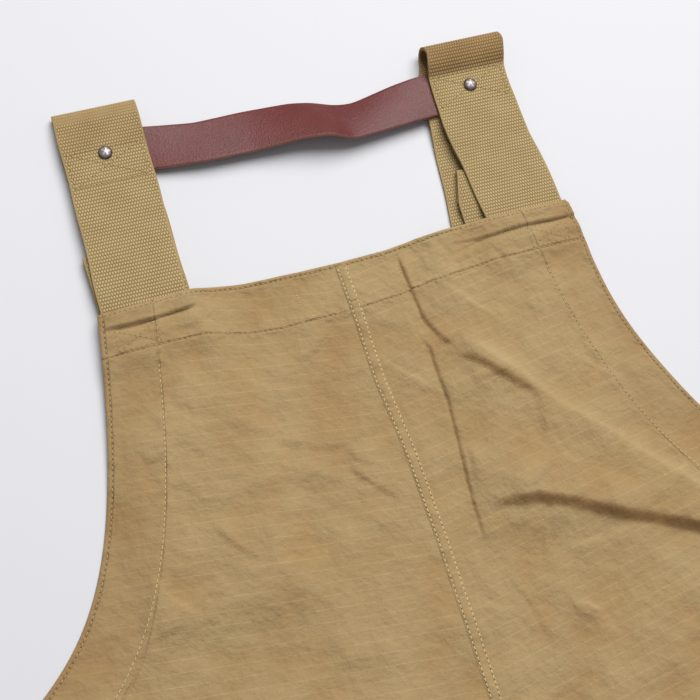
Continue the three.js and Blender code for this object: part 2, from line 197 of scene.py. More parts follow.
def nearLine(add, coordinate, place, width):  # 1 at one place, 0 beyond width
    offset = add("Math", [coordinate, place], operation="SUBTRACT")
    away = add("Math", [offset], operation="ABSOLUTE")
    return add("MapRange", [away, 0.0, width, 1.0, 0.0], interpolation_type="SMOOTHSTEP")


seams = {"edge": 2.1, "facing": 30.5, "topEdge": 1.9, "topBand": 25.5, "sideHem": 17.5, "bottomHem": 28.0}
ripstop = {"pitch": 7.0, "weft": 0.45, "warp": 0.35}


# Washed cotton ripstop: a plain weave of slubby yarns with a paler doubled yarn every 7 mm, matt and slightly
# fuzzy. Sewing draws it in, so it puckers across each stitch line; painted shade darkens each stitch groove,
# and the colour also darkens along the turned edge and over the doubled band in from it.
def makeCanvas(name, pale, deep, line):
    material, add, surface = newMaterial(name, Roughness=0.93, Specular_IOR_Level=0.22, Sheen_Weight=0.1,
                                          Sheen_Roughness=0.6)
    cloth = add("UVMap", [], uv_map="cloth")
    weftWay = add("SeparateXYZ", [cloth], 1)
    warpWay = add("SeparateXYZ", [cloth], 0)
    weft = thinLines(add, weftWay, ripstop["pitch"] * mm, ripstop["weft"] * mm)
    warp = thinLines(add, warpWay, ripstop["pitch"] * mm, ripstop["warp"] * mm)
    blotch = add("TexNoise", {"Vector": cloth, "Scale": 22, "Detail": 6, "Roughness": 0.6})
    weftYarn = add("Mapping", {"Vector": cloth, "Scale": (300, 2200, 1)})
    warpYarn = add("Mapping", {"Vector": cloth, "Scale": (2200, 300, 1)})
    weftSlub = add("TexNoise", {"Vector": weftYarn, "Scale": 1, "Detail": 2})
    warpSlub = add("TexNoise", {"Vector": warpYarn, "Scale": 1, "Detail": 2})
    grain = add("Math", [weftSlub, warpSlub], operation="ADD")
    wear = add("Math", [blotch, 0.9, -0.4], operation="MULTIPLY_ADD")
    tone = add("Math", [grain, 0.45, wear], operation="MULTIPLY_ADD")
    base = add("Mix", {0: tone, 6: toLinear(deep), 7: toLinear(pale)}, 2, data_type="RGBA")
    warpShare = add("Math", [warp, 0.07], operation="MULTIPLY")
    lines = add("Math", [weft, 0.27, warpShare], operation="MULTIPLY_ADD")
    broken = add("Math", [weftSlub, 1.5, -0.15], operation="MULTIPLY_ADD")
    shown = add("Math", [lines, broken], operation="MULTIPLY")
    lined = add("Mix", {0: shown, 6: base, 7: toLinear(line)}, 2, data_type="RGBA")
    # distances in from the armhole or side edge, and down from the top edge
    sewn = add("UVMap", [], uv_map="sewn")
    fromEdge = add("SeparateXYZ", [sewn], 0)
    fromTop = add("SeparateXYZ", [sewn], 1)
    rows = [(fromEdge, seams["edge"]), (fromEdge, seams["facing"]), (fromTop, seams["topEdge"]),
            (fromTop, seams["topBand"])]
    groove, drawn = 0.0, 0.0
    for coordinate, place in rows:
        narrow = nearLine(add, coordinate, place * mm, 0.0012)
        groove = add("Math", [groove, narrow], operation="MAXIMUM")
        wide = nearLine(add, coordinate, place * mm, 0.0065)
        drawn = add("Math", [drawn, wide], operation="MAXIMUM")
    puckerNoise = add("TexNoise", {"Vector": cloth, "Scale": 210, "Detail": 2})
    handle = add("TexNoise", {"Vector": cloth, "Scale": 26, "Detail": 5, "Roughness": 0.55})
    pucker = add("Math", [puckerNoise, drawn], operation="MULTIPLY")
    turned = add("MapRange", [fromEdge, 0.0, 0.0022, 0.75, 0.0])
    doubled = add("MapRange", [fromEdge, 0.004, 0.042, 0.36, 0.0], interpolation_type="SMOOTHSTEP")
    edgeDarkening = add("Math", [turned, doubled], operation="MAXIMUM")
    # painted shade in each stitch groove, added to the darkening along the edges
    grooveShadeAndEdgeDark = add("Math", [groove, 0.3, edgeDarkening], operation="MULTIPLY_ADD", use_clamp=True)
    grooveShadedTone = add("Mix", {0: grooveShadeAndEdgeDark, 6: lined, 7: toLinear(deep)}, 2, data_type="RGBA")
    # Painted shade: the side of each fold turned from the lamp, its pinched lines and the crumpling's hollows
    # are painted darker and warmer; the side towards the lamp gets a painted highlight in the paler line
    # colour.
    paintedLight = add("UVMap", [], uv_map="paintedLight")
    foldShade = add("SeparateXYZ", [paintedLight], 0)
    foldHighlight = add("SeparateXYZ", [paintedLight], 1)
    hollowShade = add("MapRange", [handle, 0.36, 0.56, 0.38, 0.0])
    paintedShadeShare = add("Math", [foldShade, hollowShade], operation="MAXIMUM")
    shadedTone = add("Mix", {0: paintedShadeShare, 6: grooveShadedTone, 7: toLinear("#eed5bb")}, 2, data_type="RGBA",
                 blend_type="MULTIPLY")
    colour = add("Mix", {0: foldHighlight, 6: shadedTone, 7: toLinear(line)}, 2, data_type="RGBA")
    slubs = add("Math", [grain, 0.30], operation="MULTIPLY")
    weave = add("Math", [lines, 0.9, slubs], operation="MULTIPLY_ADD")
    fine = add("Bump", {"Strength": 0.5, "Distance": 0.00022, "Height": weave})
    sunk = add("Math", [groove, -0.5, pucker], operation="MULTIPLY_ADD")
    sewnBump = add("Bump", {"Strength": 0.9, "Distance": 0.0012, "Height": sunk, "Normal": fine})
    broad = add("Bump", {"Strength": 1.0, "Distance": 0.0075, "Height": handle, "Normal": sewnBump})
    connect(surface, Base_Color=colour, Normal=broad)
    return material


# Heavy cotton webbing: thick floats staggered row by row between flat selvedges. It is ironed flat where it
# turns over at the top, and from 97 mm up each strap carries painted shade, deeper on the right strap.
webbingWeave = {"across": 1.62, "along": 2.05, "selvedge": 1.3, "pressedFrom": 118.5, "loopShadeFrom": 97.0}


def makeWebbing(name, pale, deep, loopShadeTint, width):
    material, add, surface = newMaterial(name, Roughness=0.9, Specular_IOR_Level=0.25)
    cloth = add("UVMap", [], uv_map="cloth")
    acrossWay = add("SeparateXYZ", [cloth], 0)
    alongWay = add("SeparateXYZ", [cloth], 1)
    row = add("Math", [alongWay, webbingWeave["along"] * mm], operation="DIVIDE")
    rowNumber = add("Math", [row], operation="FLOOR")
    odd = add("Math", [rowNumber, 2.0], operation="FLOORED_MODULO")
    column = add("Math", [acrossWay, webbingWeave["across"] * mm], operation="DIVIDE")
    shifted = add("Math", [odd, 0.5, column], operation="MULTIPLY_ADD")
    dome = 1.0
    for way in (shifted, row):
        phase = add("Math", [way], operation="FRACT")
        centred = add("Math", [phase, 0.5], operation="SUBTRACT")
        angle = add("Math", [centred, math.pi], operation="MULTIPLY")
        arch = add("Math", [angle], operation="COSINE")
        bulge = add("Math", [arch, 0.75], operation="POWER")
        dome = add("Math", [bulge, dome], operation="MULTIPLY")
    rim = add("Math", [acrossWay], operation="ABSOLUTE")
    flatFrom = width / 2 - webbingWeave["selvedge"] * mm
    selvedge = add("MapRange", [rim, flatFrom, flatFrom + 0.0007, 0.0, 1.0])
    place = add("TexCoord", [], "Object")
    along = add("SeparateXYZ", [place], 1)
    pressedFrom = topY + webbingWeave["pressedFrom"] * mm
    pressed = add("MapRange", [along, pressedFrom, pressedFrom + 0.003, 0.0, 0.65])
    flat = add("Math", [selvedge, pressed], operation="MAXIMUM")
    floats = add("Mix", {0: flat, 2: dome, 3: 0.42})
    fuzz = add("TexNoise", {"Vector": cloth, "Scale": 1100, "Detail": 3, "Roughness": 0.7})
    patch = add("TexNoise", {"Vector": cloth, "Scale": 60, "Detail": 3})
    uneven = add("Math", [patch, 0.4, -0.42], operation="MULTIPLY_ADD")
    fuzzy = add("Math", [fuzz, 0.45, uneven], operation="MULTIPLY_ADD")
    tone = add("Math", [floats, fuzzy], operation="ADD")
    woven = add("Mix", {0: tone, 6: toLinear(deep), 7: toLinear(pale)}, 2, data_type="RGBA")
    sideways = add("SeparateXYZ", [place], 0)
    # painted shade over the top of each strap, deeper on the right one
    loopShadeFrom = topY + webbingWeave["loopShadeFrom"] * mm
    reach = add("MapRange", [along, loopShadeFrom, loopShadeFrom + 0.004, 0.0, 1.0])
    share = add("MapRange", [sideways, -0.05, 0.05, 0.22, 0.62])
    loopShade = add("Math", [reach, share], operation="MULTIPLY")
    colour = add("Mix", {0: loopShade, 6: woven, 7: toLinear(loopShadeTint)}, 2, data_type="RGBA",
                 blend_type="MULTIPLY")
    relief = add("Math", [fuzz, 0.25, floats], operation="MULTIPLY_ADD")
    bump = add("Bump", {"Strength": 0.9, "Distance": 0.0005, "Height": relief})
    connect(surface, Base_Color=colour, Normal=bump)
    return material


# Smooth cow leather, dyed burgundy and ironed: satin, with a fine grain and slightly cloudy dye.
def makeLeather(name, pale, deep, roughness, coat):
    material, add, surface = newMaterial(name, Roughness=roughness, Specular_IOR_Level=0.32,
                                          Coat_Weight=coat, Coat_Roughness=0.3)
    place = add("TexCoord", [], "Object")
    cloud = add("TexNoise", {"Vector": place, "Scale": 45, "Detail": 5, "Roughness": 0.6})
    colour = add("Mix", {0: cloud, 6: toLinear(deep), 7: toLinear(pale)}, 2, data_type="RGBA")
    pores = add("TexVoronoi", {"Vector": place, "Scale": 1500})
    creases = add("TexNoise", {"Vector": place, "Scale": 650, "Detail": 4})
    relief = add("Math", [pores, 0.5, creases], operation="MULTIPLY_ADD")
    bump = add("Bump", {"Strength": 0.8, "Distance": 0.0003, "Height": relief})
    connect(surface, Base_Color=colour, Normal=bump)
    return material


# Spun polyester thread, pulled tight: slightly glossy, its twist too fine to see, shade drifting along.
def makeThread(name, pale, deep, roughness):
    material, add, surface = newMaterial(name, Roughness=roughness, Specular_IOR_Level=0.35)
    place = add("TexCoord", [], "Object")
    drift = add("TexNoise", {"Vector": place, "Scale": 420, "Detail": 2})
    colour = add("Mix", {0: drift, 6: toLinear(deep), 7: toLinear(pale)}, 2, data_type="RGBA")
    connect(surface, Base_Color=colour)
    return material


# Silver-plated brass, darkened and then rubbed: bright on the high spots, dull grey in the hollows.
def makeSilver(name, pale, deep, roughness):
    material, add, surface = newMaterial(name, Roughness=roughness, Metallic=1.0)
    place = add("TexCoord", [], "Object")
    rub = add("TexNoise", {"Vector": place, "Scale": 900, "Detail": 4, "Roughness": 0.7})
    colour = add("Mix", {0: rub, 6: toLinear(deep), 7: toLinear(pale)}, 2, data_type="RGBA")
    bump = add("Bump", {"Strength": 0.35, "Distance": 0.00015, "Height": rub})
    connect(surface, Base_Color=colour, Normal=bump)
    return material


# Woven cotton tape for the label: plain fine ribs, left without words.
def makeTape(name, pale, deep):
    material, add, surface = newMaterial(name, Roughness=0.85)
    cloth = add("UVMap", [], uv_map="cloth")
    ribs = thinLines(add, add("SeparateXYZ", [cloth], 1), 0.0008, 0.0003)
    threads = add("TexNoise", {"Vector": cloth, "Scale": 1200, "Detail": 2})
    tone = add("Math", [ribs, threads], operation="MULTIPLY")
    colour = add("Mix", {0: tone, 6: toLinear(pale), 7: toLinear(deep)}, 2, data_type="RGBA")
    bump = add("Bump", {"Strength": 0.4, "Distance": 0.0002, "Height": ribs})
    connect(surface, Base_Color=colour, Normal=bump)
    return material


canvas = makeCanvas("ripstopCanvas", "#a89267", "#927650", "#c8b589")
# the third colour tints the painted shade over the straps' tops
strapWebbing = makeWebbing("cottonWebbing", "#bca679", "#826a41", "#cbb09b", 0.050)
tieWebbing = makeWebbing("cottonTape", "#bca679", "#826a41", "#cbb09b", 0.025)
leather = makeLeather("burgundyLeather", "#66211c", "#4f1512", 0.42, 0.09)
rawEdge = makeLeather("cutLeatherEdge", "#a8705e", "#8a5546", 0.75, 0.0)
tanThread = makeThread("tanThread", "#b09866", "#987f50", 0.6)
paleThread = makeThread("paleThread", "#cbb686", "#b59e6e", 0.6)
# dark discs of painted shadow standing for the shade in each needle hole
holeShadowDisc = makeThread("holeShadowDisc", "#6a5230", "#553f22", 1.0)
silver = makeSilver("antiqueSilver", "#c6bcbb", "#857b78", 0.46)
darkSilver = makeSilver("oxidisedSilver", "#7d736d", "#4d4541", 0.5)
labelTape = makeTape("labelTape", "#d8cdb2", "#b5a684")
print("materials made")


def addFloor():
    bm = bmesh.new()
    bmesh.ops.create_grid(bm, x_segments=1, y_segments=1, size=6)
    mesh = bpy.data.meshes.new("tableTop")
    bm.to_mesh(mesh)
    bm.free()
    floor = addObject("tableTop", mesh)
    floor.location.z = -0.0001
    material = newMaterial("whiteTable", Roughness=0.6, Base_Color=toLinear(studio["floor"]))[0]
    mesh.materials.append(material)


addFloor()

# How the apron lies: every sheet takes its height from these.
cloth = {
    "thickness": 0.5,
    "facingGap": 0.8,  # the facing's middle to the front's middle
    "upperHandle": (34, 228),
    "lowerHandle": (119, 115),
    "seamGap": 0.15,
    "lipRadius": 0.4,
    "lipTuck": 2.0,
    "columns": 168,
}
strap = {
    "width": 50.0,
    "thickness": 1.8,
    "inset": 1.5,
    "turnY": -170.0,
    "layer": 2.1,
    "leftFoldY": 126.0,
    "rightLoopY": 114.6,
}
pileHeight = 2 * strap["layer"]
rootX = bibHalf - strap["inset"] - strap["width"] / 2
clothHalf = cloth["thickness"] / 2


def armholeCurve():
    t = np.linspace(0, 1, 800)
    upperX, upperY = cloth["upperHandle"]
    lowerX, lowerY = cloth["lowerHandle"]
    first, second, third, fourth = (1 - t) ** 3, 3 * (1 - t) ** 2 * t, 3 * (1 - t) * t ** 2, t ** 3
    xs = first * bibHalf + second * (bibHalf + upperX) + third * (waistHalf - lowerX) + fourth * waistHalf
    ys = second * -upperY + third * (lowerY - waistDrop) - fourth * waistDrop
    return xs, ys


armX, armY = armholeCurve()
armSlope = np.gradient(armX, -armY)


def halfWidth(y):  # centre seam to the armhole or side edge
    return np.where(y > -waistDrop, np.interp(-y, -armY, armX), waistHalf)


def edgeSlope(y):
    return np.where(y > -waistDrop, np.interp(-y, -armY, armSlope), 0.0)


def fromOuter(x, y):  # distance in from the armhole or side edge
    return (halfWidth(y) - np.abs(x)) / np.sqrt(1 + edgeSlope(y) ** 2)


def alongRoute(x, y, route):  # signed distance to a line of points, share of it passed, its length
    route = np.array(route, float)
    steps = np.diff(route, axis=0)
    lengths = np.hypot(steps[:, 0], steps[:, 1])
    total = lengths.sum()
    nearest = np.full(np.shape(x), 1e9)
    side, share = np.zeros(np.shape(x)), np.zeros(np.shape(x))
    done = 0.0
    for (ax, ay), (dx, dy), length in zip(route[:-1], steps, lengths):
        dx, dy = dx / length, dy / length
        t = np.clip((x - ax) * dx + (y - ay) * dy, 0, length)
        away = np.hypot(x - ax - t * dx, y - ay - t * dy)
        closer = away < nearest
        nearest = np.where(closer, away, nearest)
        side = np.where(closer, np.sign(dx * (y - ay) - dy * (x - ax)), side)
        share = np.where(closer, (done + t) / total, share)
        done += length
    return nearest * side, share, total


# Each fold stands on a line. Going along its points, steep is how far its right-hand side takes to come
# down and soft how far its left-hand side takes; most fall sharply on the right.
folds = [
    {"route": [(35, -3), (36, -25), (37, -46), (42, -60), (50, -71)], "height": 2.0, "steep": 1.7, "soft": 13,
     "fade": 10},
    {"route": [(31, -56), (35, -66), (33.5, -98), (29, -127), (25.5, -155), (24, -184)],
     "height": 1.7, "steep": 1.2, "soft": 12, "fade": 14},
    {"route": [(42, -58), (57, -71), (78, -97), (94, -119), (121, -145), (152, -180), (190, -222)],
     "height": 3.0, "steep": 24, "soft": 5.4, "fade": 34},
    {"route": [(44, -66), (60, -80), (82, -103), (92, -116)],
     "height": 2.8, "steep": 5.5, "soft": 20, "fade": 20},
    {"route": [(20, -158), (42, -160), (62, -163), (84, -172), (108, -184), (134, -195), (166, -213),
               (200, -240)],
     "height": 6.0, "steep": 7.5, "soft": 26, "fade": 44},
    {"route": [(30, -200), (40, -225), (44, -250)], "height": 1.0, "steep": 3, "soft": 10, "fade": 14},
    {"route": [(90, -262), (76, -246), (66, -222)], "height": 1.3, "steep": 6, "soft": 14, "fade": 20},
    {"route": [(-106, -74), (-84, -80), (-60, -92)], "height": 1.1, "steep": 6, "soft": 14, "fade": 16},
    {"route": [(-70, -90), (-50, -102), (-30, -108)], "height": 0.9, "steep": 5, "soft": 10, "fade": 14},
    {"route": [(-116, -128), (-106, -144), (-94, -156)], "height": 1.4, "steep": 3, "soft": 10, "fade": 10},
    {"route": [(-96, -116), (-62, -114), (-36, -124)], "height": 1.7, "steep": 11, "soft": 16, "fade": 16},
    {"route": [(-36, -118), (-26, -131), (-13, -146)], "height": 1.2, "steep": 2.6, "soft": 9, "fade": 7},
    {"route": [(-74, -42), (-82, -22), (-82, -2)], "height": 1.1, "steep": 3.5, "soft": 10, "fade": 10},
    {"route": [(-40, -150), (-60, -164), (-84, -170)], "height": 1.2, "steep": 8, "soft": 16, "fade": 18},
]

crumple = {
    "seed": 11,
    "count": 130,
    "height": (0.3, 1.1),
    "length": (18, 60),
    "steep": (2.0, 6.0),
    "soft": (6, 15),
}


def smallFolds():  # the fine crumpling of washed cotton, mostly slanting up to the right
    rng = np.random.default_rng(crumple["seed"])
    made = []
    for _ in range(crumple["count"]):
        y = rng.uniform(-330, -32)
        x = rng.uniform(-0.86, 0.86) * float(halfWidth(np.array(y)))
        heading = math.radians(rng.choice([32, -48, 78, 8]) + rng.normal(0, 14))
        half = rng.uniform(*crumple["length"]) / 2
        bend = rng.normal(0, 0.18) * half
        dx, dy = math.cos(heading), math.sin(heading)
        route = [(x - dx * half, y - dy * half), (x - dy * bend, y + dx * bend),
                 (x + dx * half, y + dy * half)]
        if rng.random() < 0.5:
            route.reverse()
        made.append({"route": route, "height": rng.uniform(*crumple["height"]), "fade": half * 0.8,
                     "steep": rng.uniform(*crumple["steep"]), "soft": rng.uniform(*crumple["soft"])})
    return made


allFolds = folds + smallFolds()
# Pinched lines: [points], depth and width.
pinches = [
    ([(-141, -10.8), (-124, -11.4), (-108, -10.6), (-90, -10.8)], 1.5, 0.95),
    ([(54, -20), (70, -16), (83, -13), (104, -10.5)], 1.1, 1.3),
    ([(94, -11.5), (112, -10.6), (128, -11), (146, -10.4)], 1.5, 0.95),
    ([(56, -165), (84, -174.5), (108, -187), (134, -198), (166, -216)], 0.9, 1.7),
    ([(-90, -12), (-80, -22), (-75, -34)], 0.5, 1.6),
    ([(84, -14), (92, -22), (97, -31)], 0.5, 1.6),
    ([(33.5, -3), (34.5, -25), (35.5, -46), (41, -61)], 0.9, 1.2),
    ([(43, -2), (45, -14), (46, -26)], 0.7, 1.5),
    ([(33, -64), (32.6, -98), (28, -127), (24.5, -155)], 0.8, 1.1),
    ([(60, -4), (66, -22), (74, -40)], 0.6, 1.6),
]


def foldHeight(x, y):
    x, y = np.broadcast_arrays(np.asarray(x, float), np.asarray(y, float))
    total = np.zeros(x.shape)
    for fold in allFolds:
        spots = np.array(fold["route"])
        margin = 2.2 * fold["soft"]
        near = ((x > spots[:, 0].min() - margin) & (x < spots[:, 0].max() + margin)
                & (y > spots[:, 1].min() - margin) & (y < spots[:, 1].max() + margin))
        if not near.any():
            continue
        away, share, length = alongRoute(x[near], y[near], fold["route"])
        gentle = np.exp(-(np.maximum(away, 0) / fold["soft"]) ** 1.6)
        steep = 1 - smoothStep(0, fold["steep"], -away)
        ends = smoothStep(0, fold["fade"], share * length) * smoothStep(0, fold["fade"], (1 - share) * length)
        total[near] += fold["height"] * np.where(away > 0, gentle, steep) * ends
    return total


def pinchDepth(x, y):
    x, y = np.broadcast_arrays(np.asarray(x, float), np.asarray(y, float))
    total = np.zeros(x.shape)
    for route, depth, width in pinches:
        away, share, length = alongRoute(x, y, route)
        ends = smoothStep(0, 8, share * length) * smoothStep(0, 8, (1 - share) * length)
        total = total + depth * bell(away, width) * ends
    return total


def creaseShare(x, y):  # how much of a fold's side is turned from the lamp, and how much towards it
    angle = math.radians(studio["keyAzimuth"])
    dx, dy = 0.6 * math.cos(angle), 0.6 * math.sin(angle)
    climb = (foldHeight(x + dx, y + dy) - foldHeight(x - dx, y - dy)) / 1.2
    shaded = 0.8 * np.clip((climb - 0.15) / 0.85 + 0.3 * pinchDepth(x, y), 0, 1)
    lit = 0.24 * np.clip((-climb - 0.28) / 0.6, 0, 1)
    return np.stack([shaded, lit], axis=-1)


def ripples(x, y):  # slow waves, deeper in the skirt
    skirt = smoothStep(-230, -420, y)
    slow = np.sin(x / 47 + 1.3 * np.sin(y / 210)) * np.sin(y / 150 + 0.6)
    slow = slow + 0.7 * np.sin((x + 0.45 * y) / 71 + 2)
    deep = np.sin(x / 62 + y / 900 + 0.8 * np.sin(y / 260)) ** 2
    fine = np.sin(x / 6.1 + 1.7 * np.sin(y / 13.7)) * np.sin(y / 7.9 + 1.1 * np.sin(x / 17.3))
    fine = fine + 0.8 * np.sin((x - 1.6 * y) / 11.3 + np.sin(y / 31)) * np.sin((1.3 * x + y) / 14.9)
    return 0.45 * (slow + 1.7) + skirt * 3.2 * deep + 0.08 * fine + 0.15


def pileUnder(x, y):  # each strap's hanging part and its turned-up end lie under the bib
    down = smoothStep(strap["turnY"] - 26, strap["turnY"] - 2, y)
    left = between(x, (-172, -146), (-88, -60))
    lean = np.clip(-y / 170, 0, 1)
    inner, outer = 70 - 20 * lean, 143 - 38 * lean
    right = smoothStep(-34, 0, x - inner) * (1 - smoothStep(0, 26, x - outer))
    return pileHeight * down * np.maximum(left, right)


def labelUnder(x, y):
    return 0.7 * (1 - smoothStep(34, 46, np.abs(x))) * smoothStep(-52, -40, y)


def bedHeight(x, y):  # underside of the facings
    calm = smoothStep(0, 16, fromOuter(x, y)) * 0.75 + 0.25
    low = smoothStep(-clothLength, -clothLength + 30, y) * 0.8 + 0.2
    return np.maximum(pileUnder(x, y), labelUnder(x, y)) + ripples(x, y) * calm * low + foldHeight(x, y)


def rootUnder(x, y):  # the strap ends between facing and front
    side = np.abs(x) - rootX
    return strap["layer"] * between(side, (-40, -26.5), (26.5, 40)) * smoothStep(-39, -26.5, y)


def loopUnder(x, y):
    across = smoothStep(waistHalf - 44, waistHalf - 23.5, np.abs(x))
    return 3.6 * across * between(y + waistDrop, (-53, -38.5), (-10.5, 4))


def bandPucker(x, y):  # over each strap end the band rises in two rolls with a pinched line between
    left = between(x, (-146, -138), (-94, -86))
    side = np.where(x < 0, left, smoothStep(58, 92, x))
    foot = -y + 0.7 * np.sin(x / 8)
    roll = 1.9 * smoothStep(0, 3, -y) * (1 - smoothStep(9.2, 10.8, foot))
    return side * (roll + 1.4 * bell(y + 17, 4.8))


def frontZ(x, y):  # the middle of the front cloth
    raised = rootUnder(x, y) + loopUnder(x, y) + bandPucker(x, y)
    raised = raised - np.minimum(pinchDepth(x, y), raised + cloth["facingGap"] - 0.55)
    return bedHeight(x, y) + clothHalf + cloth["facingGap"] + raised


def edgeShift(x, y):  # how far the top edge strays from a straight line
    xs = [-146, -118, -89, -57, -23, 0, 29, 48, 67, 146]
    ys = [0.2, 1.2, 2.4, -0.4, -1.6, -1.8, -1.2, 1.0, 1.6, 1.4]
    return np.interp(x, xs, ys) * smoothStep(-60, 0, y)


def bandDrop(x):  # the stitched foot of the top facing sags towards the middle
    return np.interp(x, [-115, -90, -60, -45, 0, 50, 90], [0, 1.2, 4.6, 5.6, 5.2, 2, 0])


def sewnPlace(x, y):  # distances in from the outer edge and down from the top one
    down = -y - bandDrop(x) * smoothStep(8, 20, -y)
    return np.stack([fromOuter(x, y) * mm, down * mm], axis=-1)


def seamShift(x, y):  # the centre seam wanders a few millimetres
    drift = np.interp(-y, [0, 40, 75, 120, 170, 260, 500], [-1, 0, 0, 3.5, 5, 5, 0])
    return drift * (1 - smoothStep(0, 130, np.abs(x)))


def sidePull(x, y):  # the crumpled right half draws its armhole in a little
    return -3.2 * bell(y + 76, 40) * smoothStep(60, 150, x)


def settle(x, y, z):  # flat place and height to the frame, with the cloth's small drifts
    return toFrame(x + sidePull(x, y) + seamShift(x, y), y + edgeShift(x, y), z)


def clothFlat(x, y, side):  # the weave in each half climbs away from the centre seam
    angle = side * math.radians(8)
    return np.stack([(x * math.cos(angle) + y * math.sin(angle)) * mm,
                     (y * math.cos(angle) - x * math.sin(angle)) * mm], axis=-1)


def plainMap(u, v):
    return np.stack([u * mm, v * mm], axis=-1)


def clothMaps(flatPlace, side):
    return {"cloth": lambda u, v: clothFlat(*flatPlace(u, v), side),
            "sewn": lambda u, v: sewnPlace(*flatPlace(u, v))}


# Making sheets
def gridPiece(name, columns, rows, shape, material, flats):
    bm = bmesh.new()
    columns, rows = np.asarray(columns, float), np.asarray(rows, float)
    bmesh.ops.create_grid(bm, x_segments=len(columns) - 1, y_segments=len(rows) - 1, size=0.5)
    i = np.array([round((v.co.x + 0.5) * (len(columns) - 1)) for v in bm.verts])
    j = np.array([round((v.co.y + 0.5) * (len(rows) - 1)) for v in bm.verts])
    u, v = columns[i], rows[j]
    for vert, point in zip(bm.verts, shape(u, v)):
        vert.co = point
    bm.verts.index_update()
    for layerName, flat in flats.items():
        layer = bm.loops.layers.uv.new(layerName)
        places = flat(u, v)
        for face in bm.faces:
            for loop in face.loops:
                loop[layer].uv = places[loop.vert.index]
    for face in bm.faces:
        face.smooth = True
    if sum(f.normal.z * f.calc_area() for f in bm.faces) < 0:
        bmesh.ops.reverse_faces(bm, faces=bm.faces)
    mesh = bpy.data.meshes.new(name)
    bm.to_mesh(mesh)
    bm.free()
    mesh.materials.append(material)
    return addObject(name, mesh)


def thicken(piece, thickness, rounding=0.0, rimMaterial=None):
    solid = piece.modifiers.new("thickness", "SOLIDIFY")
    solid.thickness = thickness * mm
    solid.offset = 0
    if rimMaterial:
        piece.data.materials.append(rimMaterial)
        solid.material_offset_rim = 1
    if rounding:
        bevel = piece.modifiers.new("rounding", "BEVEL")
        bevel.width = rounding * mm
        bevel.segments = 2
        bevel.limit_method = "ANGLE"
        bevel.angle_limit = math.radians(55)
    applyModifiers(piece)


def applyModifiers(piece):
    graph = bpy.context.evaluated_depsgraph_get()
    old = piece.data
    piece.data = bpy.data.meshes.new_from_object(piece.evaluated_get(graph))
    piece.modifiers.clear()
    bpy.data.meshes.remove(old)
    piece.data.name = piece.name
    bm = bmesh.new()
    bm.from_mesh(piece.data)
    for edge in bm.edges:
        if len(edge.link_faces) == 2 and edge.calc_face_angle() > math.radians(55):
            edge.smooth = False
    bm.to_mesh(piece.data)
    bm.free()


def joinFrame(piece, slot, *nodes):  # puts the piece under the root body and hides the nodes it stands in for; slot is not used
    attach(piece, "root")
    if nodes:
        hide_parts(*nodes)


# Fronts
def frontRows():
    skirt = np.arange(-clothLength, -300, 9.0)
    waist = np.arange(-300, -240, 4.0)
    return np.concatenate([skirt, waist, np.arange(-240, -22, 1.5), np.arange(-22, -0.4, 0.75), [0.0]])


lipSteps = 5  # round the turned edge, the last one tucked under


def addFront(name, side, node):
    lip = np.arange(1.0, lipSteps + 1)
    rows = np.concatenate([-clothLength - lip[::-1], frontRows(), lip])
    columns = np.sort(np.concatenate([np.linspace(0, 1, cloth["columns"]) ** 1.12, 1 + lip]) * side)

    def flatPlace(u, v):
        y = np.clip(v, -clothLength, 0)
        span = halfWidth(y) - cloth["seamGap"]
        return side * (cloth["seamGap"] + np.minimum(np.abs(u), 1) * span), y

    def shape(u, v):
        x, y = flatPlace(u, v)
        outer, top, hem = np.maximum(np.abs(u) - 1, 0), np.maximum(v, 0), np.maximum(-clothLength - v, 0)
        fromRoot = np.abs(np.abs(x) - rootX)
        onRoot = (1 - smoothStep(25, 28, fromRoot)) * (top > 0)
        step = np.maximum(np.maximum(outer, top), hem)
        turn = math.pi * np.minimum(step / (lipSteps - 1), 1) * (1 - 0.5 * onRoot)
        tuck = np.maximum(step - lipSteps + 1, 0) * cloth["lipTuck"] * (1 - 0.97 * onRoot)
        reach = cloth["lipRadius"] * np.sin(turn) - tuck
        slope = edgeSlope(y)
        outward = reach / np.sqrt(1 + slope ** 2) * (outer > 0)
        px = x + side * outward
        py = y + slope * outward + reach * (top > 0) - reach * (hem > 0)
        return settle(x, y, frontZ(x, y) - cloth["lipRadius"] * (1 - np.cos(turn))) + (
            toFrame(px, py, 0) - toFrame(x, y, 0))

    # the fronts carry where the painted shade and painted highlight of their folds go
    piece = gridPiece(name, columns, rows, shape, canvas,
                      clothMaps(flatPlace, side) | {"paintedLight": lambda u, v: creaseShare(*flatPlace(u, v))})
    thicken(piece, cloth["thickness"])
    joinFrame(piece, "canvas", node)
    return piece


leftFront = addFront("leftFront", -1, "left_panel")
rightFront = addFront("rightFront", 1, "right_panel")
print("fronts laid")


# Facings and hems: plain bands of the same canvas against the underside of the fronts.
facing = {
    "top": 28.0,
    "armhole": 30.0,
    "armholeLength": 340.0,
    "sideHem": 20.0,
    "sideHemShort": 80.0,  # its length is this much less than the side edge's
    "bottomHem": 30.0,
    "clear": 2.9,
}


def addBand(name, node, columns, rows, flatPlace, side):
    def shape(u, v):
        x, y = flatPlace(u, v)
        return settle(x, y, bedHeight(x, y) + clothHalf)

    piece = gridPiece(name, columns, rows, shape, canvas, clothMaps(flatPlace, side))
    thicken(piece, cloth["thickness"])
    joinFrame(piece, "canvas", node)
    return piece


def edgePlace(side, inward, y):  # a place at a distance in from the armhole or side edge
    slope = edgeSlope(y)
    stretch = np.sqrt(1 + slope ** 2)
    return side * (halfWidth(y) - inward / stretch), y - inward * slope / stretch


def acrossTop(u, v):
    return u * (halfWidth(v) - facing["clear"]), v


def acrossHem(u, v):
    return u * (waistHalf - facing["clear"]), v


